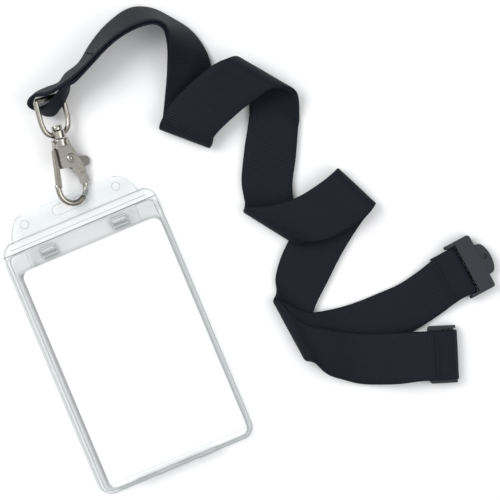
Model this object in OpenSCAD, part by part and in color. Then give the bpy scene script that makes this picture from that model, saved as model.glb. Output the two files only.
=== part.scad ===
// Lanyard badge holder: a clear hinged card case on a sprung swivel hook, with a neck strap
// that opens at a two-part safety buckle. Millimetres. The case lies on its back on z = 0,
// its long side along Y, and the strap is laid out beside it in loose zigzag folds.

/* [Card case] */
// Width of the case
case_w = 60; // [58.5:0.5:64]
// Distance from the origin down to the bottom edge of the case
case_bottom = 47.6; // [47.4:0.1:49]
// Distance from the origin up to the top edge of the cover
cover_top = 46.1; // [46:0.1:46.2]
// Full thickness of the closed case
case_t = 5.4; // [5.2:0.1:6]
// Thickness of the back and front panels
panel_t = 1.5; // [1.2:0.1:1.6]
// Thickness of the side walls
wall_t = 1.8; // [1.4:0.1:1.9]
// Corner radius of the case
case_r = 4.5; // [3:0.5:5]
// Thickness of the header plate that carries the slot
header_t = 1.6; // [1.2:0.1:1.8]
// Width of the slot for the hook
slot_w = 13.4; // [12:0.2:14]
// Radius of the two round holes in the header
header_hole_r = 1.4; // [1:0.1:1.6]
// Radius of the hinge pin
hinge_r = 0.6; // [0.5:0.05:0.6]

/* [Card] */
// Width of the card (ISO ID-1)
card_w = 53.98; // [53:0.01:54]
// Height of the card (ISO ID-1)
card_h = 85.6; // [84:0.01:85.6]
// Thickness of the card
card_t = 0.76; // [0.5:0.01:1]
// Corner radius of the card
card_r = 3.18; // [2:0.01:4]

/* [Swivel hook] */
// Radius of the hook's wire
wire_r = 1.1; // [1:0.05:1.15]
// Radius of the bow to the middle of the wire
bow_r = 5.6; // [5.4:0.1:5.7]
// Thickness of the hook's flat body
hook_body_t = 4; // [3.8:0.1:4.2]
// Radius of the trigger rivet
rivet_r = 0.9; // [0.7:0.05:1]
// Radius of the swivel post
post_r = 1.2; // [1:0.05:1.3]
// Turn of the hook about its own axis as it lies
hook_roll = 33; // [32:1:35]

/* [Strap] */
// Thickness of the webbing
webbing_t = 0.9; // [0.8:0.05:0.95]
// Distance between the middles of the two layers where they run together
layer_pitch = 1.1; // [1.05:0.05:1.2]

/* [Buckle] */
// Radius of the bar in each buckle half
bar_r = 1; // [0.9:0.05:1]
// Outer width of the plug half
plug_w = 21; // [20.8:0.1:22]
// Outer width of the socket half
socket_w = 20.8; // [20.8:0.1:22]
// Thickness of each buckle half
buckle_t = 3.8; // [3.6:0.1:3.8]
// Width of the tongue
tongue_w = 11.6; // [11:0.5:13]

/* [Hidden] */
$fn = 48;

clear_plastic = [0.80, 0.88, 0.88, 0.45];
card_white = [0.97, 0.97, 0.96];
nickel = [0.72, 0.70, 0.66];
webbing_black = [0.07, 0.07, 0.09];
thread_black = [0.03, 0.03, 0.04];
buckle_grey = [0.20, 0.20, 0.22];

// ---- card case -------------------------------------------------------------------------
part_gap = 0.2;                                // between the two shells where they close
cavity_top_z = case_t - panel_t;               // underside of the cover
shell_top_z = cavity_top_z - part_gap;         // top of the rear shell's walls
cavity_x = case_w / 2 - wall_t;
bottom_wall = 1.4;
cavity_y0 = -case_bottom + bottom_wall;
bar_y0 = cover_top + 0.3;                      // lower side of the bar across the top
bar_y1 = bar_y0 + 4.6;
header_mid_z = 3.9;
header_top_w = 37;
rail_y = 58.1;                                 // round rail along the header's top edge
rail_r = 0.95;
slot_y0 = 53.6;
slot_x = -0.1;
hole_x = 17.9;
hole_y = 55.1;
block_x = 21.5;                                // corner blocks that stop the card
block_y = 39.8;
catch_x = 13.9;
catch_w = 5.4;

// hinge barrel along the bottom edge, split into four knuckles
barrel_r = 1.2;
barrel_y = -case_bottom + barrel_r;
barrel_z = cavity_top_z;
knuckle_x = [-16.4, -8.5, -0.4, 7.3, 15.2];
knuckle_gap = 0.15;
hinge_clearance = 0.05;

// ---- hook ------------------------------------------------------------------------------
hook_at = [3.2, 60.7, 4.5];                    // centre of the bow
hook_yaw = 8.5;
hook_pitch = 8;
rivet_at = [10.6, 1.7];                        // along the hook's axis, across it
ring_roll = 36;                                // turn of the ring on the swivel as it lies
ring_bar_a = 33.4;                             // ring bar, along the hook's axis
ring_bar_half = 5.7;
ring_wire_r = 1;
collar_a = 18.2;                               // end face of the hook's collar
hub_a = 18.6;                                  // start of the ring's hub
hub_len = 2.6;
post_end_a = 21.5;

// ---- strap route -----------------------------------------------------------------------
// Each station is one straight line across the webbing: [inner edge, outer edge].
// The shared stretch runs from the ring stitching to the last fold, with both layers on it.
shared_route = [
    [[19.8, 95.6, 15.0], [17.2, 99.2, 1.6]],
    [[26.2, 97.8, 18.0], [23.0, 101.2, 1.2]],
    [[34.5, 101.4, 18.2], [30.0, 106.3, 1.2]],
    [[41.5, 103.4, 17.8], [38.0, 110.4, 1.2]],
    [[48.5, 103.9, 17.4], [47.0, 112.4, 1.2]],
    [[53.6, 102.9, 17.6], [54.0, 109.6, 1.2]],
    [[56.0, 100.6, 17.8], [59.6, 103.3, 1.2]],
    [[56.2, 97.6, 17.0], [64.4, 96.4, 1.2]],
    [[54.8, 92.8, 14.0], [66.6, 88.3, 1.2]],
    [[51.2, 85.6, 9.0], [66.0, 80.0, 1.2]],
    [[47.4, 79.2, 4.0], [62.8, 68.6, 1.2]],
    [[42.6, 70.8, 1.2], [57.0, 57.2, 1.2]],
    [[40.8, 68.8, 3.8], [55.2, 55.2, 3.8]],
    [[42.6, 70.8, 6.4], [57.0, 57.2, 6.4]],
    [[50.0, 75.8, 7.6], [60.2, 59.0, 6.8]],
    [[58.1, 79.0, 8.6], [67.8, 61.8, 7.8]],
    [[66.1, 81.2, 10.2], [75.0, 63.8, 9.4]],
    [[72.0, 81.4, 11.2], [84.4, 65.2, 11.2]],
    [[76.4, 80.2, 6.4], [90.8, 60.8, 6.4]],
    [[75.8, 72.4, 1.4], [88.8, 52.4, 1.4]],
    [[73.2, 62.0, 1.2], [87.0, 49.0, 1.2]],
    [[66.0, 49.6, 1.2], [82.0, 39.4, 1.2]],
    [[60.6, 39.4, 1.2], [76.2, 28.6, 1.2]],
    [[58.6, 31.4, 1.2], [72.4, 12.4, 1.2]],
    [[57.4, 29.2, 3.6], [71.0, 10.0, 3.6]],
    [[60.0, 29.2, 6.0], [73.8, 10.0, 6.0]],
    [[68.0, 26.8, 6.0], [76.0, 8.8, 6.0]],
    [[77.0, 26.0, 5.8], [82.8, 7.8, 5.8]],
    [[86.0, 27.4, 5.6], [92.4, 9.2, 5.6]],
    [[91.8, 29.0, 5.4], [99.8, 11.6, 5.4]],
    [[93.8, 29.8, 3.3], [101.6, 12.4, 3.3]],
    [[91.8, 28.6, 1.2], [99.8, 11.0, 1.2]],
    [[84.4, 24.4, 1.2], [95.0, 8.6, 1.2]],
    [[74.0, 17.4, 1.2], [85.4, 2.0, 1.2]],
    [[64.4, 9.6, 1.2], [75.6, -6.2, 1.2]],
    [[58.6, 2.6, 1.2], [65.6, -15.4, 1.2]],
    [[56.8, -2.8, 1.2], [59.4, -27.2, 1.2]],
    [[55.0, -5.2, 3.6], [57.4, -29.6, 3.6]],
    [[57.2, -7.2, 6.0], [59.8, -31.6, 6.0]]
];
// From the last fold to the plug half, under the other layer
plug_route = [
    [[64.0, -13.6, 4.0], [65.6, -32.2, 3.6]],
    [[72.0, -16.2, 1.5], [73.4, -34.4, 1.1]],
    [[81.0, -17.4, 0.7], [82.0, -35.6, 0.7]],
    [[90.5, -17.6, 0.7], [91.4, -35.8, 0.7]],
    [[99.0, -17.4, 0.9], [100.4, -34.8, 0.9]],
    [[107.0, -15.8, 1.6], [109.0, -33.2, 1.6]],
    [[112.4, -14.2, 2.7], [114.2, -31.8, 2.7]]
];
// From the last fold to the socket half, over the other layer
socket_route = [
    [[61.0, -16.6, 7.0], [62.2, -37.4, 5.4]],
    [[68.6, -22.4, 5.6], [66.6, -41.4, 3.6]],
    [[76.6, -27.2, 3.4], [71.6, -45.2, 1.9]],
    [[84.6, -30.8, 3.4], [78.0, -48.2, 3.0]],
    [[92.2, -33.6, 5.2], [85.2, -50.8, 5.0]]
];

strap_w = 18;                                  // webbing width at the buckle bars
half_t = webbing_t / 2;
wrap_r = bar_r + 0.2 + half_t;                 // middle of the webbing round a buckle bar
plug_at = [121.4, -21.7, 2.2];
plug_turn = 5.6;
socket_at = [106.5, -48.3, 2.2];
socket_turn = -20;

// Each hem is given in its buckle's own plane as [distance along, height], from the run's
// side over the bar, round it and back beside the run.
plug_hem = [
    [-4.4, 1.0], [-1.6, 1.55], [0, wrap_r], [1.2, 1.15], [wrap_r, 0], [1.1, -1.2],
    [-0.4, -wrap_r], [-2.4, -wrap_r + 0.1], [-5.0, -1.25], [-8.0, -1.45]
];
socket_hem = [
    [-12.0, 3.7], [-8.6, 3.75], [-4.6, 3.75], [-1.6, 3.5], [0.6, 2.6], [wrap_r + 0.1, 1.0],
    [wrap_r, -0.3], [0.9, -1.35], [-0.3, -wrap_r], [-1.3, -0.95], [-1.8, 0.2], [-2.1, 1.5],
    [-3.2, 2.5], [-5.0, 2.65], [-8.4, 2.65]
];
// The loop round the swivel ring's bar, from the far side of the ring to the near side
ring_loop = [
    [[14.2, 95.0, 14.6], [13.4, 97.4, 3.6]],
    [[8.8, 94.5, 13.6], [8.2, 97.5, 3.2]],
    [[3.6, 95.8, 12.4], [3.7, 97.2, 2.2]],
    [[0.7, 94.1, 10.4], [1.1, 94.6, 1.4]],
    [[2.4, 91.6, 8.6], [2.2, 91.6, 1.0]],
    [[5.4, 91.3, 9.0], [4.8, 88.6, 2.2]],
    [[8.6, 92.1, 11.6], [8.0, 87.4, 5.0]],
    [[12.3, 93.7, 13.7], [11.4, 89.0, 9.4]],
    [[16.2, 94.6, 14.6], [15.6, 93.6, 6.4]]
];

// ---- small vector helpers --------------------------------------------------------------
function unit(v) = v / norm(v);
function mix(a, b, f) = a * (1 - f) + b * f;
function reversed(list) = [for (i = [len(list) - 1 : -1 : 0]) list[i]];
function last(list) = list[len(list) - 1];

// The hook's own directions in the part's frame: along its axis, across it, and up from it
axis_dir = [sin(hook_yaw) * cos(hook_pitch), cos(hook_yaw) * cos(hook_pitch), sin(hook_pitch)];
level_across = [cos(hook_yaw), -sin(hook_yaw), 0];
level_up = cross(level_across, axis_dir);
across_dir = level_across * cos(hook_roll) - level_up * sin(hook_roll);
up_dir = level_across * sin(hook_roll) + level_up * cos(hook_roll);
function in_hook(along, across, up) =
    hook_at + axis_dir * along + across_dir * across + up_dir * up;

// A station of a layer that lies off the middle of the shared route by d
function middle(s) = (s[0] + s[1]) / 2;
function side_of(route, i) =
    let (a = middle(route[max(i - 1, 0)]), b = middle(route[min(i + 1, len(route) - 1)]))
    unit(cross(b - a, route[i][1] - route[i][0]));
// Webbing drawn together into a narrower band gets thicker
function gathered(s) = min(1.5, max(1, strap_w / norm(s[1] - s[0])));
function layer(route, d) =
    [for (i = [0 : len(route) - 1])
        let (n = side_of(route, i) * d * gathered(route[i])) [route[i][0] + n, route[i][1] + n]];

// A hem's stations in the part's frame
function hem_stations(hem, at, turn, len) =
    [for (p = hem)
        let (c = at + [cos(turn) * p[0], sin(turn) * p[0], p[1]],
             w = [sin(turn), -cos(turn), 0] * len / 2)
        [c - w, c + w]];

strap_stations = concat(
    reversed(concat(layer(shared_route, layer_pitch / 2), plug_route,
                    hem_stations(plug_hem, plug_at, plug_turn, strap_w))),
    ring_loop,
    layer(shared_route, -layer_pitch / 2), socket_route,
    hem_stations(socket_hem, socket_at, socket_turn, strap_w)
);

// A smooth curve through four values, from the second to the third
function through(p, q, r, s, t) =
    (2 * q + (r - p) * t + (2 * p - 5 * q + 4 * r - s) * t * t
     + (3 * q - p - 3 * r + s) * t * t * t) / 2;
function finer(stations, steps) =
    let (n = len(stations))
    concat(
        [for (i = [0 : n - 2], k = [0 : steps - 1], t = [k / steps])
            [for (e = [0, 1])
                through(stations[max(i - 1, 0)][e], stations[i][e], stations[i + 1][e],
                        stations[min(i + 2, n - 1)][e], t)]],
        [last(stations)]
    );
strap_steps = 2;
strap_lines = finer(strap_stations, strap_steps);

// The closed outline round the webbing at one line across it
across_steps = 2;
function line_point(lines, i, f) =
    mix(lines[max(0, min(i, len(lines) - 1))][0], lines[max(0, min(i, len(lines) - 1))][1], f);
function face_dir(lines, i, f) =
    unit(cross(line_point(lines, i + 1, f) - line_point(lines, i - 1, f), lines[i][1] - lines[i][0]));
function outline(lines, i) =
    let (t = half_t * gathered(lines[i]))
    concat(
        [for (k = [0 : across_steps]) let (f = k / across_steps)
            line_point(lines, i, f) + face_dir(lines, i, f) * t],
        [for (k = [across_steps : -1 : 0]) let (f = k / across_steps)
            line_point(lines, i, f) - face_dir(lines, i, f) * t]
    );

// ---- shared shapes ---------------------------------------------------------------------
module rounded_rect(x0, y0, x1, y1, r) {
    translate([x0 + r, y0]) square([x1 - x0 - 2 * r, y1 - y0]);
    translate([x0, y0 + r]) square([x1 - x0, y1 - y0 - 2 * r]);
    for (x = [x0 + r, x1 - r], y = [y0 + r, y1 - r]) translate([x, y]) circle(r);
}

// A box given by its two corners
module block(low, high) {
    translate(low) cube(high - low);
}

// A cylinder along X
module rod_x(x0, x1, y, z, r) {
    translate([x0, y, z]) rotate([0, 90, 0]) cylinder(h = x1 - x0, r = r);
}

// Places children in the hook's own frame: its axis along +Y, its width along X
module at_hook(roll = hook_roll) {
    translate(hook_at) rotate([0, 0, -hook_yaw]) rotate([hook_pitch, 0, 0]) rotate([0, roll, 0])
        children();
}

// Places children in a buckle half's frame: strap direction along +X, its bar along Y
module at_buckle(at, turn) {
    translate(at) rotate([0, 0, turn]) children();
}

// ---- card case parts -------------------------------------------------------------------
// One shoulder of the header, from its foot on the top bar to the end of the rail
header_shoulder = [[24.6, 50], [24.5, 51.8], [23.3, 54.4], [21.9, 56.6], [20.2, 58.2], [18.4, 58.7]];

module header_outline() {
    polygon(concat(header_shoulder, [for (p = reversed(header_shoulder)) [-p[0], p[1]]]));
}

module header_slot() {
    hull() {
        for (s = [-1, 1]) translate([slot_x + s * (slot_w / 2 - 1.7), slot_y0 + 1.7]) circle(1.7, $fn = 32);
    }
    translate([slot_x - slot_w / 2 + 1.7, slot_y0 + 1.7]) square([slot_w - 3.4, rail_y - slot_y0 - 1.7]);
}

module header() {
    difference() {
        translate([0, 0, header_mid_z - header_t / 2]) linear_extrude(header_t) header_outline();
        translate([0, 0, header_mid_z - header_t]) linear_extrude(2 * header_t) header_slot();
        for (x = [-hole_x, hole_x]) translate([x + slot_x, hole_y, header_mid_z - header_t])
            cylinder(h = 2 * header_t, r = header_hole_r);
    }
    rod_x(-header_top_w / 2, header_top_w / 2, rail_y, header_mid_z, rail_r);
}

module top_bar() {
    linear_extrude(case_t) intersection() {
        rounded_rect(-case_w / 2, bar_y0 - 8, case_w / 2, bar_y1, case_r);
        translate([-case_w, bar_y0]) square([2 * case_w, 8]);
    }
    for (y = [bar_y0 + 1.7, bar_y0 + 4.1])
        rod_x(-case_w / 2 + 3.4, case_w / 2 - 3.4, y, case_t - 0.1, 0.35);
}

module catch_windows() {
    for (x = [-catch_x, catch_x]) {
        block([x - 3, 42.6, -1], [x + 3, 44.9, panel_t + 1]);
        block([x - 3, 41.4, -1], [x + 3, 44.9, 1]);
    }
}

module case_outline() {
    rounded_rect(-case_w / 2, -case_bottom, case_w / 2, cover_top + 8, case_r);
}

// Full-height walls round the back panel, open inside and at the cover's knuckles
module rear_shell() {
    color(clear_plastic) {
        difference() {
            linear_extrude(shell_top_z) intersection() {
                case_outline();
                translate([-case_w, -case_bottom]) square([2 * case_w, case_bottom + bar_y0 + 1]);
            }
            translate([0, 0, panel_t]) linear_extrude(case_t)
                rounded_rect(-cavity_x, cavity_y0, cavity_x, bar_y0, 3);
            translate([0, 0, panel_t]) linear_extrude(case_t)
                translate([-cavity_x, 0]) square([2 * cavity_x, bar_y0]);
            catch_windows();
            for (i = [1, 3])
                rod_x(knuckle_x[i] - knuckle_gap, knuckle_x[i + 1] + knuckle_gap, barrel_y, barrel_z,
                      barrel_r + 0.3);
        }
        for (x = [-1, 1]) translate([x > 0 ? block_x : -cavity_x, block_y, panel_t])
            cube([cavity_x - block_x, bar_y0 - block_y, shell_top_z - panel_t]);
        for (i = [0, 2]) rear_knuckle(knuckle_x[i] + knuckle_gap, knuckle_x[i + 1] - knuckle_gap);
        block([7.6, -case_bottom - 0.4, 0.5], [12.2, -case_bottom + 0.4, 1.4]);
        top_bar();
        header();
    }
}

module rear_knuckle(x0, x1) {
    difference() {
        union() {
            rod_x(x0, x1, barrel_y, barrel_z, barrel_r);
            block([x0, -case_bottom, shell_top_z - 1], [x1, -case_bottom + bottom_wall, barrel_z]);
        }
        rod_x(x0 - 1, x1 + 1, barrel_y, barrel_z, hinge_r);
    }
}

// The cover's lower edge slopes back from the hinge barrel so that it can swing right over
cover_edge_in = 1.5;
cover_edge_out = 0.75;

module cover_panel() {
    difference() {
        translate([0, 0, cavity_top_z]) linear_extrude(panel_t)
            rounded_rect(-case_w / 2, -case_bottom + 1.2, case_w / 2, cover_top + 6, case_r - 1);
        block([-case_w, cover_top, 0], [case_w, cover_top + 10, case_t + 1]);
        translate([-case_w, barrel_y, cavity_top_z]) rotate([90, 0, 90]) linear_extrude(2 * case_w)
            polygon([[-4, -1], [cover_edge_in, -1], [cover_edge_in, 0], [cover_edge_out, panel_t],
                     [cover_edge_out, panel_t + 1], [-4, panel_t + 1]]);
    }
}

module snap_hook(x) {
    block([x - catch_w / 2, 43.3, 0.3], [x + catch_w / 2, 44.5, cavity_top_z + 0.1]);
    block([x - catch_w / 2, 42.2, 0.3], [x + catch_w / 2, 43.4, 0.8]);
}

module cover_knuckle(x0, x1) {
    rod_x(x0, x1, barrel_y, barrel_z, barrel_r);
    block([x0, barrel_y, barrel_z], [x1, barrel_y + cover_edge_in + 0.4, barrel_z + barrel_r]);
}

module front_cover() {
    color(clear_plastic) difference() {
        union() {
            cover_panel();
            for (x = [-catch_x, catch_x]) snap_hook(x);
            for (i = [1, 3]) cover_knuckle(knuckle_x[i] + knuckle_gap, knuckle_x[i + 1] - knuckle_gap);
        }
        rod_x(-case_w, case_w, barrel_y, barrel_z, hinge_r + hinge_clearance);
        translate([0, 0, case_t - 0.35]) linear_extrude(1)
            rounded_rect(-cavity_x, cavity_y0 + 2.4, cavity_x, block_y - 0.4, 3);
    }
}

module hinge_pin() {
    color(nickel) rod_x(knuckle_x[0] + 0.4, knuckle_x[4] - 0.4, barrel_y, barrel_z, hinge_r);
}

module id_card() {
    card_x0 = cavity_x - 0.3 - card_w;
    card_y0 = cavity_y0 + 0.15;
    color(card_white) translate([0, 0, panel_t + 0.1]) linear_extrude(card_t)
        rounded_rect(card_x0, card_y0, card_x0 + card_w, card_y0 + card_h, card_r);
}

// ---- hook parts ------------------------------------------------------------------------
gate_reach = 11.3;                             // the gate's tip swings on this radius
gate_gap = 0.15;
cheek_t = 1.1;
trigger_t = hook_body_t - 2 * cheek_t - 0.2;

// A round wire through points in the hook's own plane
module wire(points, r) {
    for (i = [0 : len(points) - 2]) {
        run = points[i + 1] - points[i];
        translate([points[i][0], points[i][1], 0]) rotate([0, 0, atan2(run[1], run[0])]) rotate([0, 90, 0])
            cylinder(h = norm(run), r = r);
    }
    for (p = points) translate([p[0], p[1], 0]) sphere(r * 1.03, $fn = 32);
}

module bow() {
    rotate([0, 0, 180]) rotate_extrude(angle = 180) translate([bow_r, 0]) circle(wire_r, $fn = 32);
    translate([bow_r, 0, 0]) rotate([-90, 0, 0]) cylinder(h = 1.4, r = wire_r);
    wire([[bow_r, 1.4], [4.6, 5.6], [4.0, 9.0]], wire_r);
    translate([-bow_r, 0, 0]) rotate([-90, 0, 0]) cylinder(h = 2.6, r = wire_r);
}

leg_t = 2.5;
module body_outline() {
    polygon([
        [-2.6, collar_a - 1], [2.6, collar_a - 1], [2.9, 15.4], [4.7, 10.6], [6.1, 6.2], [6.4, 4.6],
        [3.7, 4.6], [2.4, 6.4], [0.9, 7.3], [-1.0, 7.5], [-2.8, 7.7], [-3.0, 9.2], [-2.8, 14.6]
    ]);
}

// Thinner web that carries the plate on down the bow's leg
module leg_outline() {
    polygon([
        [3.4, 7.6], [5.3, 7.4], [6.1, 6.2], [6.95, 2.4], [6.95, 0.4], [4.3, 0.4], [4.3, 2.8],
        [3.6, 4.8]
    ]);
}

module hook_body() {
    color(nickel) at_hook() difference() {
        union() {
            bow();
            translate([0, 0, -hook_body_t / 2]) linear_extrude(hook_body_t) body_outline();
            translate([0, 0, -leg_t / 2]) linear_extrude(leg_t) leg_outline();
            translate([0, collar_a - 2.4, 0]) rotate([-90, 0, 0]) cylinder(h = 2, r = 3.05);
            translate([0, collar_a - 0.7, 0]) rotate([-90, 0, 0]) cylinder(h = 0.7, r = 3.3);
        }
        // the slot that the trigger turns in
        translate([0, 0, -trigger_t / 2 - 0.1]) linear_extrude(trigger_t + 0.2)
            polygon([[-8, 4.6], [-8, 15.3], [-1.7, 15.3], [0.4, 13.9], [9, 13.9], [9, 6.8], [2.4, 6.8],
                     [0.4, 5.4], [-0.8, 4.6]]);
        translate([rivet_at[1], rivet_at[0], -hook_body_t]) cylinder(h = 2 * hook_body_t, r = rivet_r);
        translate([0, collar_a - 3, 0]) rotate([-90, 0, 0]) cylinder(h = 4, r = post_r);
        // the bow's tip ends on the arc that the gate swings on
        intersection() {
            translate([rivet_at[1], rivet_at[0], -2]) cylinder(h = 4, r = gate_reach + gate_gap);
            block([-8, 0.1, -2], [-3.4, 4, 2]);
        }
    }
}

// Gate bar, boss on the rivet and thumb lobe in one lever
module trigger() {
    color(nickel) at_hook() difference() {
        union() {
            translate([0, 0, -trigger_t / 2]) linear_extrude(trigger_t) {
                intersection() {
                    polygon([[-6.3, 0.6], [-4.4, 0.6], [-3.3, 8.4], [-1.0, 7.6], [1.7, 8.4], [6.0, 7.0],
                             [7.4, 6.8], [7.4, 9.4], [6.0, 10.0], [1.7, 12.8], [-1.7, 12.8],
                             [-2.3, 15.0], [-4.0, 15.0]]);
                    translate([rivet_at[1], rivet_at[0]]) circle(gate_reach);
                }
                translate([7.6, 8.1]) circle(1.9);
            }
            translate([rivet_at[1], rivet_at[0], 0]) cylinder(h = trigger_t, r = 2.5, center = true);
        }
        translate([rivet_at[1], rivet_at[0], -hook_body_t])
            cylinder(h = 2 * hook_body_t, r = rivet_r + 0.05);
        translate([rivet_at[1], rivet_at[0], trigger_t / 2 - spring_pocket])
            cylinder(h = 1, r = 1.95);
    }
}

module trigger_rivet() {
    color(nickel) at_hook() translate([rivet_at[1], rivet_at[0], 0]) {
        cylinder(h = hook_body_t, r = rivet_r, center = true);
        for (s = [0, 180]) rotate([s, 0, 0]) translate([0, 0, hook_body_t / 2]) difference() {
            cylinder(h = 0.4, r1 = 1.8, r2 = 1.5);
            translate([0, 0, 0.2]) difference() {
                cylinder(h = 1, r = 1.05);
                translate([0, 0, -1]) cylinder(h = 3, r = 0.55);
            }
        }
    }
}

// Coil round the rivet that holds the gate shut, in a pocket in the lever
spring_pocket = 0.6;
module trigger_spring() {
    color(nickel) at_hook()
        translate([rivet_at[1], rivet_at[0], trigger_t / 2 - spring_pocket / 2 + 0.03])
            rotate_extrude() translate([1.5, 0]) circle(0.22, $fn = 16);
}

module swivel_rivet() {
    color(nickel) at_hook() {
        translate([0, collar_a - 3, 0]) rotate([-90, 0, 0])
            cylinder(h = post_end_a - collar_a + 3, r = post_r);
        translate([0, post_end_a, 0]) rotate([-90, 0, 0]) cylinder(h = 1.6, r = 1.95);
    }
}

// Path of one side of the ring's wire, from inside the hub to the bar
ring_half = [[-1.8, hub_a + 1.3], [-3.6, hub_a + 1.9], [-5.0, hub_a + 3.5], [-5.7, hub_a + 6.2],
             [-5.8, hub_a + 9.2]];
ring_curve = [for (i = [0 : len(ring_half) - 2], k = [0 : 3])
    catmull(ring_half[max(i - 1, 0)], ring_half[i], ring_half[i + 1],
            ring_half[min(i + 2, len(ring_half) - 1)], k / 4)];
ring_side = concat(ring_curve, [last(ring_half), [-ring_bar_half, ring_bar_a]]);

function catmull(p, q, r, s, t) =
    (2 * q + (r - p) * t + (2 * p - 5 * q + 4 * r - s) * t * t
     + (3 * q - p - 3 * r + s) * t * t * t) / 2;

// Round wire along a flat path, mitred at its corners
module swept_wire(path, r, sides = 20) {
    last = len(path) - 1;
    polyhedron(
        points = [for (i = [0 : last])
            let (u = unit(path[max(i, 1)] - path[max(i, 1) - 1]),
                 v = unit(path[min(i, last - 1) + 1] - path[min(i, last - 1)]),
                 t = unit(u + v),
                 side = [-t[1], t[0]] / (u * t))
            for (k = [0 : sides - 1])
                [path[i][0] + side[0] * r * cos(360 * k / sides),
                 path[i][1] + side[1] * r * cos(360 * k / sides),
                 r * sin(360 * k / sides)]],
        faces = concat(
            [for (i = [0 : last - 1], k = [0 : sides - 1])
                [i * sides + k, (i + 1) * sides + k,
                 (i + 1) * sides + (k + 1) % sides, i * sides + (k + 1) % sides]],
            [[for (k = [0 : sides - 1]) k], [for (k = [sides - 1 : -1 : 0]) last * sides + k]]));
}

module swivel_ring() {
    color(nickel) at_hook(ring_roll) difference() {
        union() {
            translate([0, hub_a, 0]) rotate([-90, 0, 0]) cylinder(h = hub_len, r = 2.5);
            for (s = [0, 1]) mirror([s, 0, 0]) {
                swept_wire(ring_side, ring_wire_r);
                translate([-ring_bar_half, ring_bar_a, 0]) sphere(ring_wire_r * 1.03, $fn = 32);
            }
            translate([-ring_bar_half, ring_bar_a, 0]) rotate([0, 90, 0])
                cylinder(h = 2 * ring_bar_half, r = ring_wire_r);
        }
        translate([0, hub_a - 1, 0]) rotate([-90, 0, 0]) cylinder(h = hub_len + 2, r = post_r + 0.08);
    }
}

// ---- buckle ----------------------------------------------------------------------------
// One buckle half's frame: a bar for the webbing between two arms, in front of a solid body
// that starts body_x from the bar. side is +1 when the body lies ahead of the bar.
plug_body_x = 2.4;
socket_body_x = 3.5;
module buckle_frame(w, body_x, len, side) {
    arm = (w - strap_w) / 2 - 0.35;
    for (y = [-1, 1]) scale([side, y, 1]) translate([0, w / 2 - arm, -buckle_t / 2 + 0.1]) {
        cube([body_x + 1, arm, buckle_t - 0.2]);
        translate([0, 0, buckle_t / 2 - 0.1]) rotate([-90, 0, 0]) cylinder(h = arm, r = buckle_t / 2 - 0.1);
    }
    translate([0, -w / 2 + 0.5, 0]) rotate([-90, 0, 0]) cylinder(h = w - 1, r = bar_r);
    scale([side, 1, 1]) translate([0, 0, -buckle_t / 2]) linear_extrude(buckle_t)
        rounded_rect(body_x, -w / 2, body_x + len, w / 2, 1);
}

module buckle_plug() {
    body_len = 6;
    front = plug_body_x + body_len;
    color(buckle_grey) at_buckle(plug_at, plug_turn) difference() {
        union() {
            buckle_frame(plug_w, plug_body_x, body_len, 1);
            // tongue with its rounded nose
            translate([0, 0, -1.3]) linear_extrude(2.6) {
                translate([front - 1, -tongue_w / 2]) square([2.2, tongue_w]);
                translate([front + 1.2, 0]) scale([0.42, 1]) circle(tongue_w / 2);
            }
        }
        translate([front + 1.5, 0.6, 0.3]) cylinder(h = 2, r = 0.9);
    }
}

module buckle_socket() {
    body_len = 4.9;
    color(buckle_grey) at_buckle(socket_at, socket_turn) translate([0, 0.25, 0]) difference() {
        buckle_frame(socket_w, socket_body_x, body_len, -1);
        // mouth for the tongue, and the window it shows through
        translate([-socket_body_x - body_len - 1, -tongue_w / 2 - 0.3, -1.4])
            cube([4.9, tongue_w + 0.6, 2.8]);
        translate([-socket_body_x - body_len + 2.2, 0, -buckle_t]) cylinder(h = buckle_t, r = 1.4);
    }
}

// ---- strap parts -----------------------------------------------------------------------
module neck_strap() {
    n = len(strap_lines);
    m = 2 * (across_steps + 1);
    color(webbing_black) polyhedron(
        points = [for (i = [0 : n - 1]) each outline(strap_lines, i)],
        faces = concat(
            [for (i = [0 : n - 2], k = [0 : m - 1])
                each [[i * m + k, i * m + (k + 1) % m, (i + 1) * m + (k + 1) % m],
                      [i * m + k, (i + 1) * m + (k + 1) % m, (i + 1) * m + k]]],
            [[for (k = [m - 1 : -1 : 0]) k]],
            [[for (k = [0 : m - 1]) (n - 1) * m + k]]
        )
    );
}

// Stitches lie on the strap's face: one row across it at a given line, on one side
thread_r = 0.22;
module stitch_row(line, from, to, count, side) {
    for (k = [0 : count - 1]) {
        f0 = from + (to - from) * k / count;
        f1 = from + (to - from) * (k + 0.72) / count;
        lift = (half_t * gathered(strap_lines[line]) + thread_r * 0.9) * side;
        p = line_point(strap_lines, line, f0) + face_dir(strap_lines, line, f0) * lift;
        q = line_point(strap_lines, line, f1) + face_dir(strap_lines, line, f1) * lift;
        stitch(p, q);
    }
}

module stitch(p, q) {
    d = q - p;
    translate(p) rotate([0, acos(d[2] / norm(d)), atan2(d[1], d[0])])
        cylinder(h = norm(d), r = thread_r, $fn = 16);
}

// Bar tacks through both layers just behind the ring, showing on both outer faces
module ring_stitching() {
    color(thread_black) for (line = [107, 132, 133]) stitch_row(line, 0.15, 0.9, 7, -1);
}

module plug_hem_stitching() {
    color(thread_black) for (line = [19, 20]) stitch_row(line, 0.06, 0.98, 12, 1);
}

module socket_hem_stitching() {
    color(thread_black) for (line = [221, 222]) stitch_row(line, 0.06, 0.98, 12, -1);
}

rear_shell();
front_cover();
hinge_pin();
id_card();
hook_body();
trigger();
trigger_rivet();
trigger_spring();
swivel_rivet();
swivel_ring();
neck_strap();
ring_stitching();
plug_hem_stitching();
socket_hem_stitching();
buckle_plug();
buckle_socket();
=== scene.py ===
"""Looks of a lanyard badge holder: a clear hinged card case on a swivel hook, and its neck strap."""

import math

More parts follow.
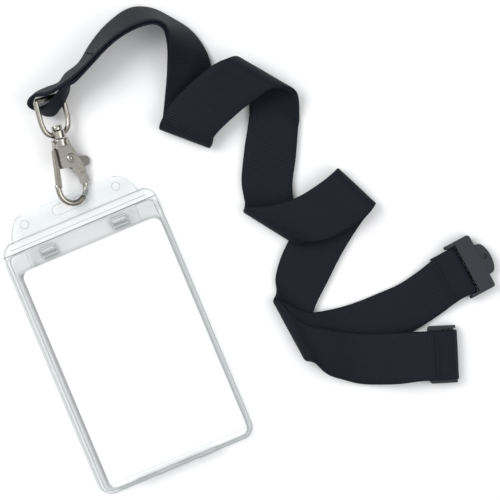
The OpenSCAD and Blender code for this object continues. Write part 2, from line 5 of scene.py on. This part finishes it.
import bpy
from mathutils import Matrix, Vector


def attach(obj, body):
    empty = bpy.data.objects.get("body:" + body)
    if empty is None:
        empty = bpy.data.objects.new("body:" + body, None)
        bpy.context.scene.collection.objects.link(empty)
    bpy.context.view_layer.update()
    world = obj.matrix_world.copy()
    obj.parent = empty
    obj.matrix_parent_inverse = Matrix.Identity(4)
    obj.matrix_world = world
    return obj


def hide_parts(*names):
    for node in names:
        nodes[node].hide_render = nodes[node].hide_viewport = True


MM = 0.001
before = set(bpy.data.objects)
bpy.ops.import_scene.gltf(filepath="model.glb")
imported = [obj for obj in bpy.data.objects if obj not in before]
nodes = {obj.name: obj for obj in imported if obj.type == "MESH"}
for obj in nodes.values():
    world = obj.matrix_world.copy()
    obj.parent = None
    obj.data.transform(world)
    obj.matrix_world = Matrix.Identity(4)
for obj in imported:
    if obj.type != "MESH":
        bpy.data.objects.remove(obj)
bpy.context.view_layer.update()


def lerp(a, b, f):
    """The point a share f of the way from a to b."""
    return a * (1 - f) + b * f


# ---- camera ------------------------------------------------------------------------------
VIEW_TURN = math.radians(-22.8)  # the object lies turned in the frame
VIEW_CENTRE = Vector((53.7, 15.0, 0)) * MM
VIEW_WIDTH = 182 * MM
LENS = 150
SENSOR = 36

scene = bpy.context.scene
camera = bpy.data.objects.new("camera", bpy.data.cameras.new("camera"))
scene.collection.objects.link(camera)
camera.data.lens = LENS
camera.data.sensor_width = SENSOR
camera.data.clip_start = 0.01
camera.data.clip_end = 20
camera.location = VIEW_CENTRE + Vector((0, 0, VIEW_WIDTH * LENS / SENSOR))
camera.rotation_euler = (0, 0, VIEW_TURN)
scene.camera = camera


# ---- materials ---------------------------------------------------------------------------
def material(name, **sockets):
    """A new material, its node tree and its shader. A socket is named with _ for each space."""
    mat = bpy.data.materials.new(name)
    mat.use_nodes = True
    shader = mat.node_tree.nodes["Principled BSDF"]
    for key, value in sockets.items():
        shader.inputs[key.replace("_", " ")].default_value = value
    return mat, mat.node_tree, shader


def node(tree, kind, **settings):
    """A new node. Each setting is one of its inputs, by name, or else one of its properties."""
    made = tree.nodes.new(kind)
    for key, value in settings.items():
        if key in made.inputs:
            made.inputs[key].default_value = value
        else:
            setattr(made, key, value)
    return made


def noise_of(tree, scale, detail):
    where = node(tree, "ShaderNodeTexCoord")
    noise = node(tree, "ShaderNodeTexNoise", Scale=scale, Detail=detail)
    tree.links.new(where.outputs["Object"], noise.inputs["Vector"])
    return noise.outputs["Fac"]


def to_range(tree, value, low, high, from_low=0.0, from_high=1.0):
    """value, moved from one range to another, and clamped to it."""
    ranged = node(tree, "ShaderNodeMapRange")
    limits = {"From Min": from_low, "From Max": from_high, "To Min": low, "To Max": high}
    for key, number in limits.items():
        ranged.inputs[key].default_value = number
    tree.links.new(value, ranged.inputs["Value"])
    return ranged.outputs["Result"]


def add_bump(tree, shader, height, distance, strength):
    bump = node(tree, "ShaderNodeBump", Strength=strength, Distance=distance)
    tree.links.new(height, bump.inputs["Height"])
    tree.links.new(bump.outputs["Normal"], shader.inputs["Normal"])


# A mix node's sockets share their names between data types, so its colour ones go by number
MIX_FACTOR, MIX_A, MIX_B, MIX_RESULT = 0, 6, 7, 2


def colour_mix(tree, factor, a, b):
    """Colour a where factor is 0 and b where it is 1."""
    mix = node(tree, "ShaderNodeMix", data_type="RGBA")
    mix.inputs[MIX_A].default_value = (*a, 1)
    mix.inputs[MIX_B].default_value = (*b, 1)
    tree.links.new(factor, mix.inputs[MIX_FACTOR])
    return mix.outputs[MIX_RESULT]


def place_of(tree):
    """The X, Y and Z of a point in the object's own frame, which is the row frame for a CAD node."""
    where = node(tree, "ShaderNodeTexCoord")
    split = node(tree, "ShaderNodeSeparateXYZ")
    tree.links.new(where.outputs["Object"], split.inputs["Vector"])
    return split.outputs


# The thin clear window over the card, in the row frame
WINDOW_LOW, WINDOW_HIGH = (-26.9 * MM, -44.6 * MM), (26.9 * MM, 39.4 * MM)
WINDOW_FADE = 0.6 * MM
HEADER_START = 51 * MM  # the header plate is one layer, and tinted a little more
HEADER_FADE = 0.4 * MM


def inside_window(tree):
    """1 over the card's window and 0 on the thicker rim round it."""
    place = place_of(tree)
    inside = None
    for axis, low, high in zip("XY", WINDOW_LOW, WINDOW_HIGH):
        for sign, limit in ((1, low), (-1, high)):
            step = to_range(tree, place[axis], 0, 1, limit, limit + sign * WINDOW_FADE)
            if inside is None:
                inside = step
            else:
                both = node(tree, "ShaderNodeMath", operation="MULTIPLY")
                tree.links.new(inside, both.inputs[0])
                tree.links.new(step, both.inputs[1])
                inside = both.outputs[0]
    return inside


def clear_plastic(name, colour, rim_alpha, window_alpha, header_alpha):
    """Clear moulded plastic. header_alpha adds to the other two over the header."""
    mat, tree, shader = material(name, Roughness=0.12, IOR=1.49)
    waves = noise_of(tree, 60, 2)
    tree.links.new(colour_mix(tree, waves, colour, [c * 0.94 for c in colour]), shader.inputs["Base Color"])
    header = to_range(tree, place_of(tree)["Y"], 0, header_alpha, HEADER_START, HEADER_START + HEADER_FADE)
    total = node(tree, "ShaderNodeMath", operation="ADD")
    tree.links.new(to_range(tree, inside_window(tree), rim_alpha, window_alpha), total.inputs[0])
    tree.links.new(header, total.inputs[1])
    tree.links.new(total.outputs[0], shader.inputs["Alpha"])
    add_bump(tree, shader, waves, 0.00012, 0.5)
    return mat


RIB_PITCH, WARP_PITCH = 0.72, 0.5  # millimetres, along the band and across it


def webbing_material():
    """Ribbed weave: ribs across the band, crossed by fine warp threads. UVs are in millimetres."""
    mat, tree, shader = material("webbing", Roughness=0.6, IOR=1.4)
    shader.inputs["Sheen Weight"].default_value = 0.012
    shader.inputs["Specular IOR Level"].default_value = 0.22
    shader.inputs["Sheen Roughness"].default_value = 0.45
    shader.inputs["Sheen Tint"].default_value = (0.75, 0.8, 1.0, 1)
    uv = node(tree, "ShaderNodeUVMap", uv_map="weave")
    split = node(tree, "ShaderNodeSeparateXYZ")
    tree.links.new(uv.outputs["UV"], split.inputs["Vector"])

    def wave(coordinate, pitch):
        scaled = node(tree, "ShaderNodeMath", operation="MULTIPLY")
        scaled.inputs[1].default_value = 2 * math.pi / pitch
        tree.links.new(split.outputs[coordinate], scaled.inputs[0])
        sine = node(tree, "ShaderNodeMath", operation="SINE")
        tree.links.new(scaled.outputs[0], sine.inputs[0])
        return to_range(tree, sine.outputs[0], 0, 1, -1, 1)

    ribs, warp = wave("X", RIB_PITCH), wave("Y", WARP_PITCH)
    fuzz = noise_of(tree, 900, 4)
    weave = node(tree, "ShaderNodeMath", operation="MULTIPLY")
    tree.links.new(ribs, weave.inputs[0])
    tree.links.new(to_range(tree, warp, 0.55, 1.0), weave.inputs[1])
    height = node(tree, "ShaderNodeMath", operation="MULTIPLY_ADD")
    height.inputs[1].default_value = 0.35
    tree.links.new(fuzz, height.inputs[0])
    tree.links.new(weave.outputs[0], height.inputs[2])
    colour = colour_mix(tree, height.outputs[0], (0.0007, 0.0008, 0.0020), (0.0108, 0.0138, 0.0225))
    tree.links.new(colour, shader.inputs["Base Color"])
    add_bump(tree, shader, height.outputs[0], 0.00014, 0.7)
    return mat


PAINTED_SHADE_REACH = 1.6 * MM  # how far from a corner the painted shade reaches
PAINTED_SHADE_LEVEL = 0.22  # the painted shade's brightness, as a share of the metal's dark colour


def nickel_material(name, light, dark):
    """Plated metal: light stains all over, and painted shade that darkens corners and places where one part
    meets another.
    """
    mat, tree, shader = material(name, Metallic=1.0)
    stain = noise_of(tree, 170, 3)
    # painted shade: ambient occlusion darkens the colour in corners and where parts meet
    painted_shade_ao = node(tree, "ShaderNodeAmbientOcclusion", samples=8, Distance=PAINTED_SHADE_REACH)
    painted_shade_mix = node(tree, "ShaderNodeMix", data_type="RGBA")
    painted_shade_mix.inputs[MIX_A].default_value = (*[c * PAINTED_SHADE_LEVEL for c in dark], 1)
    tree.links.new(colour_mix(tree, stain, light, dark), painted_shade_mix.inputs[MIX_B])
    tree.links.new(to_range(tree, painted_shade_ao.outputs["AO"], 0, 1, 0.25, 0.85), painted_shade_mix.inputs[MIX_FACTOR])
    tree.links.new(painted_shade_mix.outputs[MIX_RESULT], shader.inputs["Base Color"])
    tree.links.new(to_range(tree, stain, 0.14, 0.26), shader.inputs["Roughness"])
    add_bump(tree, shader, noise_of(tree, 420, 2), 0.00003, 0.4)
    return mat


def grained(name, low, high, roughness, grain, depth):
    """A dull solid colour between low and high, with a fine grain that also makes the surface uneven."""
    mat, tree, shader = material(name, IOR=1.46)
    speck = noise_of(tree, grain, 4)
    tree.links.new(colour_mix(tree, speck, low, high), shader.inputs["Base Color"])
    tree.links.new(to_range(tree, speck, roughness - 0.08, roughness + 0.08), shader.inputs["Roughness"])
    add_bump(tree, shader, speck, depth, 0.6)
    return mat


MATERIALS = {
    "clear": clear_plastic("clear_plastic", (0.66, 0.74, 0.75), 0.026, 0.008, 0.11),
    "edge": grained("plastic_edge", (0.42, 0.45, 0.46), (0.55, 0.59, 0.60), 0.35, 300, 0.00002),
    "edge_bold": grained("plastic_edge_bold", (0.24, 0.26, 0.27), (0.36, 0.39, 0.40), 0.35, 300, 0.00002),
    "card": grained("card_white", (0.93, 0.93, 0.92), (0.96, 0.96, 0.96), 0.4, 500, 0.00001),
    "nickel": nickel_material("nickel", (0.50, 0.48, 0.43), (0.37, 0.35, 0.31)),
    # the trigger's nickel is a darker copy of the same metal: painted shade
    "lever": nickel_material("nickel_lever", (0.36, 0.34, 0.30), (0.25, 0.235, 0.205)),
    "webbing": webbing_material(),
    "thread": grained("thread", (0.001, 0.001, 0.0015), (0.004, 0.004, 0.006), 0.85, 2500, 0.0001),
    "buckle": grained("buckle_plastic", (0.0085, 0.0105, 0.0155), (0.0135, 0.0165, 0.0235), 0.45, 1400,
                      0.00004),
    "steel": grained("pin_steel", (0.45, 0.45, 0.45), (0.6, 0.6, 0.6), 0.3, 900, 0.00002),
}
FINISH = {
    "rear_shell": "clear", "front_cover": "clear", "hinge_pin": "steel", "id_card": "card",
    "hook_body": "nickel", "trigger": "lever", "trigger_rivet": "nickel", "trigger_spring": "steel",
    "swivel_rivet": "nickel", "swivel_ring": "nickel", "neck_strap": "webbing",
    "ring_stitching": "thread", "plug_hem_stitching": "thread", "socket_hem_stitching": "thread",
    "buckle_plug": "buckle", "buckle_socket": "buckle",
}
for name, finish in FINISH.items():
    mesh = nodes[name].data
    mesh.materials.clear()
    mesh.materials.append(MATERIALS[finish])

SAME_POINT = 0.002 * MM
FLAT_ANGLE, SHARP_ANGLE = math.radians(0.5), math.radians(30)


def even_normals(piece):
    normals = piece.modifiers.new("normals", "WEIGHTED_NORMAL")
    normals.keep_sharp = False


def soften(name, width):
    """Rounds a CAD node's sharp edges a little, so that they catch the light."""
    piece = nodes[name]
    weld = piece.modifiers.new("weld", "WELD")
    weld.merge_threshold = SAME_POINT
    flat = piece.modifiers.new("flat faces", "DECIMATE")
    flat.decimate_type = "DISSOLVE"
    flat.angle_limit = FLAT_ANGLE
    bevel = piece.modifiers.new("bevel", "BEVEL")
    bevel.width = width
    bevel.segments = 2
    bevel.limit_method = "ANGLE"
    bevel.angle_limit = SHARP_ANGLE
    bevel.harden_normals = False
    even_normals(piece)


EDGE_WIDTHS = {
    "buckle_plug": 0.25, "buckle_socket": 0.25, "hook_body": 0.12, "trigger": 0.15, "front_cover": 0.12,
    "rear_shell": 0.12, "id_card": 0.05, "swivel_rivet": 0.2, "trigger_rivet": 0.08,
}
for name, width in EDGE_WIDTHS.items():
    soften(name, width * MM)
even_normals(nodes["swivel_ring"])


# ---- strap -------------------------------------------------------------------------------
# The same route as the CAD strap, in millimetres: each station is one straight line across the
# webbing, as its two ends.
SHARED_ROUTE = [
    ((19.8, 95.6, 15.0), (17.2, 99.2, 1.6)),
    ((26.2, 97.8, 18.0), (23.0, 101.2, 1.2)),
    ((34.5, 101.4, 18.2), (30.0, 106.3, 1.2)),
    ((41.5, 103.4, 17.8), (38.0, 110.4, 1.2)),
    ((48.5, 103.9, 17.4), (47.0, 112.4, 1.2)),
    ((53.6, 102.9, 17.6), (54.0, 109.6, 1.2)),
    ((56.0, 100.6, 17.8), (59.6, 103.3, 1.2)),
    ((56.2, 97.6, 17.0), (64.4, 96.4, 1.2)),
    ((54.8, 92.8, 14.0), (66.6, 88.3, 1.2)),
    ((51.2, 85.6, 9.0), (66.0, 80.0, 1.2)),
    ((47.4, 79.2, 4.0), (62.8, 68.6, 1.2)),
    ((42.6, 70.8, 1.2), (57.0, 57.2, 1.2)),
    ((40.8, 68.8, 3.8), (55.2, 55.2, 3.8)),
    ((42.6, 70.8, 6.4), (57.0, 57.2, 6.4)),
    ((50.0, 75.8, 7.6), (60.2, 59.0, 6.8)),
    ((58.1, 79.0, 8.6), (67.8, 61.8, 7.8)),
    ((66.1, 81.2, 10.2), (75.0, 63.8, 9.4)),
    ((72.0, 81.4, 11.2), (84.4, 65.2, 11.2)),
    ((76.4, 80.2, 6.4), (90.8, 60.8, 6.4)),
    ((75.8, 72.4, 1.4), (88.8, 52.4, 1.4)),
    ((73.2, 62.0, 1.2), (87.0, 49.0, 1.2)),
    ((66.0, 49.6, 1.2), (82.0, 39.4, 1.2)),
    ((60.6, 39.4, 1.2), (76.2, 28.6, 1.2)),
    ((58.6, 31.4, 1.2), (72.4, 12.4, 1.2)),
    ((57.4, 29.2, 3.6), (71.0, 10.0, 3.6)),
    ((60.0, 29.2, 6.0), (73.8, 10.0, 6.0)),
    ((68.0, 26.8, 6.0), (76.0, 8.8, 6.0)),
    ((77.0, 26.0, 5.8), (82.8, 7.8, 5.8)),
    ((86.0, 27.4, 5.6), (92.4, 9.2, 5.6)),
    ((91.8, 29.0, 5.4), (99.8, 11.6, 5.4)),
    ((93.8, 29.8, 3.3), (101.6, 12.4, 3.3)),
    ((91.8, 28.6, 1.2), (99.8, 11.0, 1.2)),
    ((84.4, 24.4, 1.2), (95.0, 8.6, 1.2)),
    ((74.0, 17.4, 1.2), (85.4, 2.0, 1.2)),
    ((64.4, 9.6, 1.2), (75.6, -6.2, 1.2)),
    ((58.6, 2.6, 1.2), (65.6, -15.4, 1.2)),
    ((56.8, -2.8, 1.2), (59.4, -27.2, 1.2)),
    ((55.0, -5.2, 3.6), (57.4, -29.6, 3.6)),
    ((57.2, -7.2, 6.0), (59.8, -31.6, 6.0)),
]
PLUG_ROUTE = [
    ((64.0, -13.6, 4.0), (65.6, -32.2, 3.6)),
    ((72.0, -16.2, 1.5), (73.4, -34.4, 1.1)),
    ((81.0, -17.4, 0.7), (82.0, -35.6, 0.7)),
    ((90.5, -17.6, 0.7), (91.4, -35.8, 0.7)),
    ((99.0, -17.4, 0.9), (100.4, -34.8, 0.9)),
    ((107.0, -15.8, 1.6), (109.0, -33.2, 1.6)),
    ((112.4, -14.2, 2.7), (114.2, -31.8, 2.7)),
]
SOCKET_ROUTE = [
    ((61.0, -16.6, 7.0), (62.2, -37.4, 5.4)),
    ((68.6, -22.4, 5.6), (66.6, -41.4, 3.6)),
    ((76.6, -27.2, 3.4), (71.6, -45.2, 1.9)),
    ((84.6, -30.8, 3.4), (78.0, -48.2, 3.0)),
    ((92.2, -33.6, 5.2), (85.2, -50.8, 5.0)),
]
RING_LOOP = [
    ((14.2, 95.0, 14.6), (13.4, 97.4, 3.6)),
    ((8.8, 94.5, 13.6), (8.2, 97.5, 3.2)),
    ((3.6, 95.8, 12.4), (3.7, 97.2, 2.2)),
    ((0.7, 94.1, 10.4), (1.1, 94.6, 1.4)),
    ((2.4, 91.6, 8.6), (2.2, 91.6, 1.0)),
    ((5.4, 91.3, 9.0), (4.8, 88.6, 2.2)),
    ((8.6, 92.1, 11.6), (8.0, 87.4, 5.0)),
    ((12.3, 93.7, 13.7), (11.4, 89.0, 9.4)),
    ((16.2, 94.6, 14.6), (15.6, 93.6, 6.4)),
]
STRAP_WIDTH = 18
STRAP_HALF = 0.45  # half its thickness
LAYER_PITCH = 1.1  # between the middles of two layers that run together
LINE_SPACING = 1.2
WRAP = 1.65  # middle of the webbing round a buckle bar
# Each hem turns round its buckle's bar: distance along the strap from the bar, and height over it
PLUG_HEM = [(-4.4, 1.0), (-1.6, 1.55), (0, WRAP), (1.2, 1.15), (WRAP, 0), (1.1, -1.2), (-0.4, -WRAP),
            (-2.4, -WRAP + 0.1), (-5.0, -1.25), (-8.0, -1.45)]
SOCKET_HEM = [(-12.0, 3.7), (-8.6, 3.75), (-4.6, 3.75), (-1.6, 3.5), (0.6, 2.6), (WRAP + 0.1, 1.0),
              (WRAP, -0.3), (0.9, -1.35), (-0.3, -WRAP), (-1.3, -0.95), (-1.8, 0.2), (-2.1, 1.5),
              (-3.2, 2.5), (-5.0, 2.65), (-8.4, 2.65)]
PLUG_AT, PLUG_TURN = Vector((121.4, -21.7, 2.2)), math.radians(5.6)
SOCKET_AT, SOCKET_TURN = Vector((106.5, -48.3, 2.2)), math.radians(-20)


def gathered(station):
    """How much thicker the webbing is where its line is shorter than the flat width."""
    return min(1.5, max(1.0, STRAP_WIDTH / (station[1] - station[0]).length))


def layer(route, offset):
    """One of the two layers that run together, off the middle of the route."""
    middles = [(a + b) / 2 for a, b in route]
    made = []
    for i, (a, b) in enumerate(route):
        along = middles[min(i + 1, len(route) - 1)] - middles[max(i - 1, 0)]
        side = along.cross(b - a).normalized() * offset * gathered((a, b))
        made.append((a + side, b + side))
    return made


def hem(points, at, turn):
    """Stations for a hem's section, with its bar at a place and the strap turned from the X axis."""
    across = Vector((math.sin(turn), -math.cos(turn), 0)) * STRAP_WIDTH / 2
    made = []
    for along, up in points:
        centre = at + Vector((math.cos(turn) * along, math.sin(turn) * along, up))
        made.append((centre - across, centre + across))
    return made


def vectors(route):
    return [(Vector(a), Vector(b)) for a, b in route]


shared = vectors(SHARED_ROUTE)
stations = (
    (layer(shared, LAYER_PITCH / 2) + vectors(PLUG_ROUTE) + hem(PLUG_HEM, PLUG_AT, PLUG_TURN))[::-1]
    + vectors(RING_LOOP)
    + layer(shared, -LAYER_PITCH / 2) + vectors(SOCKET_ROUTE) + hem(SOCKET_HEM, SOCKET_AT, SOCKET_TURN)
)


def smooth(p, q, r, s, t):
    """A Catmull-Rom curve from q, at t = 0, to r, at t = 1."""
    return (2 * q + (r - p) * t + (2 * p - 5 * q + 4 * r - s) * t * t
            + (3 * q - p - 3 * r + s) * t * t * t) / 2


def fine_lines(stations, spacing):
    """Lines across the webbing, about spacing apart along it."""
    made = []
    count = len(stations)
    for i in range(count - 1):
        four = [stations[max(i - 1, 0)], stations[i], stations[i + 1], stations[min(i + 2, count - 1)]]
        span = max((four[2][e] - four[1][e]).length for e in (0, 1))
        steps = max(2, round(span / spacing))
        for k in range(steps):
            made.append(tuple(smooth(*(s[e] for s in four), k / steps) for e in (0, 1)))
    return made + [stations[-1]]


# The band's section: share of the width, share of the half thickness. The selvages are rounded.
SECTION = [(0.0, 0.0), (0.006, 0.6), (0.03, 1.0), (0.16, 0.94), (0.33, 1.0), (0.5, 1.0), (0.67, 1.0),
           (0.84, 0.94), (0.97, 1.0), (0.994, 0.6), (1.0, 0.0)]
OUTLINE = SECTION + [(f, -h) for f, h in SECTION[-2:0:-1]]


def build_strap():
    """The band as one closed mesh, with UVs in millimetres: along it, then across it."""
    lines = fine_lines(stations, LINE_SPACING)
    count, ring = len(lines), len(OUTLINE)
    points, travelled = [], [0.0]
    for i, (a, b) in enumerate(lines):
        before, after = lines[max(i - 1, 0)], lines[min(i + 1, count - 1)]
        half = STRAP_HALF * gathered((a, b))
        for f, h in OUTLINE:
            along = lerp(after[0], after[1], f) - lerp(before[0], before[1], f)
            face = along.cross(b - a).normalized()
            points.append((lerp(a, b, f) + face * half * h) * MM)
        if i:
            travelled.append(travelled[-1] + (a + b - lines[i - 1][0] - lines[i - 1][1]).length / 2)
    faces, uvs = [], []
    for i in range(count - 1):
        for k in range(ring):
            n = (k + 1) % ring
            faces.append((i * ring + k, i * ring + n, (i + 1) * ring + n, (i + 1) * ring + k))
            u0, u1 = travelled[i], travelled[i + 1]
            v0, v1 = OUTLINE[k][0] * STRAP_WIDTH, OUTLINE[n][0] * STRAP_WIDTH
            uvs += [(u0, v0), (u0, v1), (u1, v1), (u1, v0)]
    faces.append(tuple(range(ring))[::-1])
    faces.append(tuple((count - 1) * ring + k for k in range(ring)))
    uvs += [(0, v) for v, _ in OUTLINE[::-1]] + [(travelled[-1], v) for v, _ in OUTLINE]
    mesh = bpy.data.meshes.new("webbing_band")
    mesh.from_pydata(points, [], faces)
    layer_uv = mesh.uv_layers.new(name="weave")
    layer_uv.data.foreach_set("uv", [c for pair in uvs for c in pair])
    mesh.shade_smooth()
    mesh.validate()
    band = bpy.data.objects.new("webbing_band", mesh)
    scene.collection.objects.link(band)
    mesh.materials.append(MATERIALS["webbing"])
    return band


strap = build_strap()
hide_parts("neck_strap")
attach(strap, "strap")


# ---- edges of the clear plastic ----------------------------------------------------------
# Clear plastic shows mostly by its edges and steps, where it bends the light. Each is a fine dark line just
# inside the solid, in millimetres: painted shade standing in for the light that the edge bends.
def rounded_loop(x0, y0, x1, y1, radius, z, steps=6):
    """A closed run of points round a rectangle with round corners."""
    made = []
    for cx, cy, start in ((x1 - radius, y1 - radius, 0), (x0 + radius, y1 - radius, 90),
                          (x0 + radius, y0 + radius, 180), (x1 - radius, y0 + radius, 270)):
        for k in range(steps + 1):
            turn = math.radians(start + 90 * k / steps)
            made.append(Vector((cx + radius * math.cos(turn), cy + radius * math.sin(turn), z)))
    return made + made[:1]


def tubes(name, runs, body, finish="edge", sides=6):
    """One mesh of round lines. Each run is (points, radius)."""
    points, faces = [], []
    for run, radius in runs:
        first = len(points)
        for i, here in enumerate(run):
            along = (run[min(i + 1, len(run) - 1)] - run[max(i - 1, 0)]).normalized()
            other = Vector((0, 0, 1)) if abs(along.z) < 0.9 else Vector((1, 0, 0))
            side = along.cross(other).normalized()
            up = side.cross(along)
            for k in range(sides):
                turn = 2 * math.pi * k / sides
                points.append((here + (side * math.cos(turn) + up * math.sin(turn)) * radius) * MM)
        for i in range(len(run) - 1):
            for k in range(sides):
                n = (k + 1) % sides
                a, b = first + i * sides, first + (i + 1) * sides
                faces.append((a + k, b + k, b + n, a + n))
        faces.append(tuple(first + k for k in range(sides)))
        faces.append(tuple(first + (len(run) - 1) * sides + k for k in range(sides))[::-1])
    mesh = bpy.data.meshes.new(name)
    mesh.from_pydata(points, [], faces)
    mesh.materials.append(MATERIALS[finish])
    mesh.shade_smooth()
    piece = bpy.data.objects.new(name, mesh)
    scene.collection.objects.link(piece)
    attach(piece, body)
    return piece


def line(*points):
    return [Vector(p) for p in points]


CASE_X, CASE_Y0 = 30, -47.6
BAR_Y0, BAR_Y1 = 46.4, 51
INSIDE_X, INSIDE_Y0 = 28.2, -46.2
COVER_Y0, COVER_Y1 = -45.6, 46.1
COVER_STEP_Y0, COVER_STEP_Y1 = -43.8, 39.3
SHELL_Z, TOP_Z = 3.7, 5.4
HAIR, FINE, BOLD = 0.07, 0.11, 0.16  # radii of the lines

case_lines = [
    (rounded_loop(-CASE_X + 0.2, CASE_Y0 + 0.2, CASE_X - 0.2, BAR_Y1 - 0.2, 4.4, 0.2), FINE),
]
for z in (1.4, SHELL_Z - 0.1):
    inside = rounded_loop(-INSIDE_X - 0.1, INSIDE_Y0 - 0.1, INSIDE_X + 0.1, BAR_Y0 + 0.1, 3, z)
    case_lines.append((inside, FINE))
RIB_X = CASE_X - 3.5
for rib_y, radius in ((BAR_Y0 + 1.7, FINE), (BAR_Y0 + 4.1, HAIR)):
    case_lines.append((line((-RIB_X, rib_y, TOP_Z), (RIB_X, rib_y, TOP_Z)), radius))
cover_lines = [
    (rounded_loop(-CASE_X + 0.15, COVER_Y0, CASE_X - 0.15, COVER_Y1 - 0.15, 3.3, TOP_Z - 0.15), FINE),
    (rounded_loop(-INSIDE_X, COVER_STEP_Y0, INSIDE_X, COVER_STEP_Y1, 3, TOP_Z - 0.45), HAIR),
]

# The header's two faces: its shoulders, its two round holes and the slot for the hook
HEADER_TOP_Z, HEADER_LOW_Z = 4.7, 3.1
SHOULDER = [(24.6, 50.0), (24.5, 51.8), (23.3, 54.4), (21.9, 56.6), (20.2, 58.2), (18.4, 58.7)]
HOLE_X, HOLE_Y0, HOLE_Y1, HOLE_R = 17.9, 53.6, 56.6, 1.5
SLOT_X0, SLOT_X1, SLOT_Y0, SLOT_Y1, SLOT_R = -6.9, 6.7, 53.5, 57.2, 1.8
HEADER_X = -0.1  # the holes are centred a little to one side
for z in (HEADER_TOP_Z - 0.08, HEADER_LOW_Z + 0.08):
    for side in (-1, 1):
        case_lines.append((line(*((side * (x - 0.08), y, z) for x, y in SHOULDER)), HAIR))
        hole_x = side * HOLE_X + HEADER_X
        hole = rounded_loop(hole_x - HOLE_R, HOLE_Y0, hole_x + HOLE_R, HOLE_Y1, HOLE_R, z, 8)
        case_lines.append((hole, HAIR))
    case_lines.append((rounded_loop(SLOT_X0, SLOT_Y0, SLOT_X1, SLOT_Y1, SLOT_R, z, 8), HAIR))

# The corner blocks that stop the card, and the snap catches: a ledge in the shell, a hook on the cover
BLOCK_X0, BLOCK_X1, BLOCK_Y0, BLOCK_Y1 = 21.6, 28.1, 39.9, 46.2
CATCH_X = 13.9
LEDGE_HALF, LEDGE_Y0, LEDGE_Y1, LEDGE_Z = 3.1, 41.3, 45.0, 1.3
SNAP_HALF, SNAP_Y0, SNAP_Y1 = 2.6, 42.3, 44.4
for side in (-1, 1):
    inner, outer = sorted((side * BLOCK_X0, side * BLOCK_X1))
    case_lines.append((rounded_loop(inner, BLOCK_Y0, outer, BLOCK_Y1, 0.3, SHELL_Z - 0.1, 2), HAIR))
    x = side * CATCH_X
    ledge = rounded_loop(x - LEDGE_HALF, LEDGE_Y0, x + LEDGE_HALF, LEDGE_Y1, 0.3, LEDGE_Z, 2)
    case_lines.append((ledge, FINE))
    for z in (3.7, 0.6):
        snap = rounded_loop(x - SNAP_HALF, SNAP_Y0, x + SNAP_HALF, SNAP_Y1, 0.2, z, 2)
        cover_lines.append((snap, FINE))
case_edges = tubes("case_edges", case_lines, "holder")
# the seam between the cover's top edge and the header bar: a real gap, drawn as a bold dark line that also
# stands for the shadow in it, painted shadow
SEAM_X, SEAM_Y, SEAM_Z = CASE_X - 0.3, BAR_Y0 + 0.15, TOP_Z - 0.15
seam = line((-SEAM_X, SEAM_Y, SEAM_Z), (SEAM_X, SEAM_Y, SEAM_Z))
case_seam = tubes("case_seam", [(seam, BOLD)], "holder", "edge_bold")
cover_edges = tubes("cover_edges", cover_lines, "cover")


# ---- floor and light ---------------------------------------------------------------------
def area_light(name, at, size, power):
    """A white rectangular light that points at the middle of the view."""
    light = bpy.data.lights.new(name, "AREA")
    light.shape = "RECTANGLE"
    light.size, light.size_y = size
    light.energy = power
    lamp = bpy.data.objects.new(name, light)
    scene.collection.objects.link(lamp)
    lamp.location = at
    lamp.rotation_euler = (VIEW_CENTRE - Vector(at)).to_track_quat("-Z", "Y").to_euler()


FLOOR_HALF = 3.0
FLOOR_Z = -0.2 * MM  # at the hook's lowest point, to within 0.03 mm
floor_mesh = bpy.data.meshes.new("floor")
floor_corners = [(x * FLOOR_HALF, y * FLOOR_HALF, 0) for x, y in ((-1, -1), (1, -1), (1, 1), (-1, 1))]
floor_mesh.from_pydata(floor_corners, [], [(0, 1, 2, 3)])
floor = bpy.data.objects.new("floor", floor_mesh)
scene.collection.objects.link(floor)
floor.location.z = FLOOR_Z
floor_mat, floor_tree, floor_shader = material("floor", Roughness=0.9)
floor_colour = colour_mix(floor_tree, noise_of(floor_tree, 3, 2), (0.90, 0.90, 0.90), (0.92, 0.92, 0.92))
floor_tree.links.new(floor_colour, floor_shader.inputs["Base Color"])
floor_mesh.materials.append(floor_mat)

area_light("key", (-0.35, 0.45, 0.75), (0.5, 0.5), 4.6)
area_light("fill", (0.55, -0.35, 0.7), (0.6, 0.6), 2.2)


def studio_world():
    """A white dome that darkens towards its rim, so that metal has something dark to reflect."""
    world = bpy.data.worlds.new("world")
    scene.world = world
    world.use_nodes = True
    tree = world.node_tree
    where = node(tree, "ShaderNodeTexCoord")
    split = node(tree, "ShaderNodeSeparateXYZ")
    tree.links.new(where.outputs["Generated"], split.inputs["Vector"])
    height = to_range(tree, split.outputs["Z"], 0, 1, 0.15, 0.9)
    dome = tree.nodes["Background"]
    colour = colour_mix(tree, height, (0.10, 0.095, 0.09), (0.97, 0.98, 1.0))
    tree.links.new(colour, dome.inputs["Color"])
    dome.inputs["Strength"].default_value = 0.95


studio_world()
scene.view_settings.view_transform = "Standard"
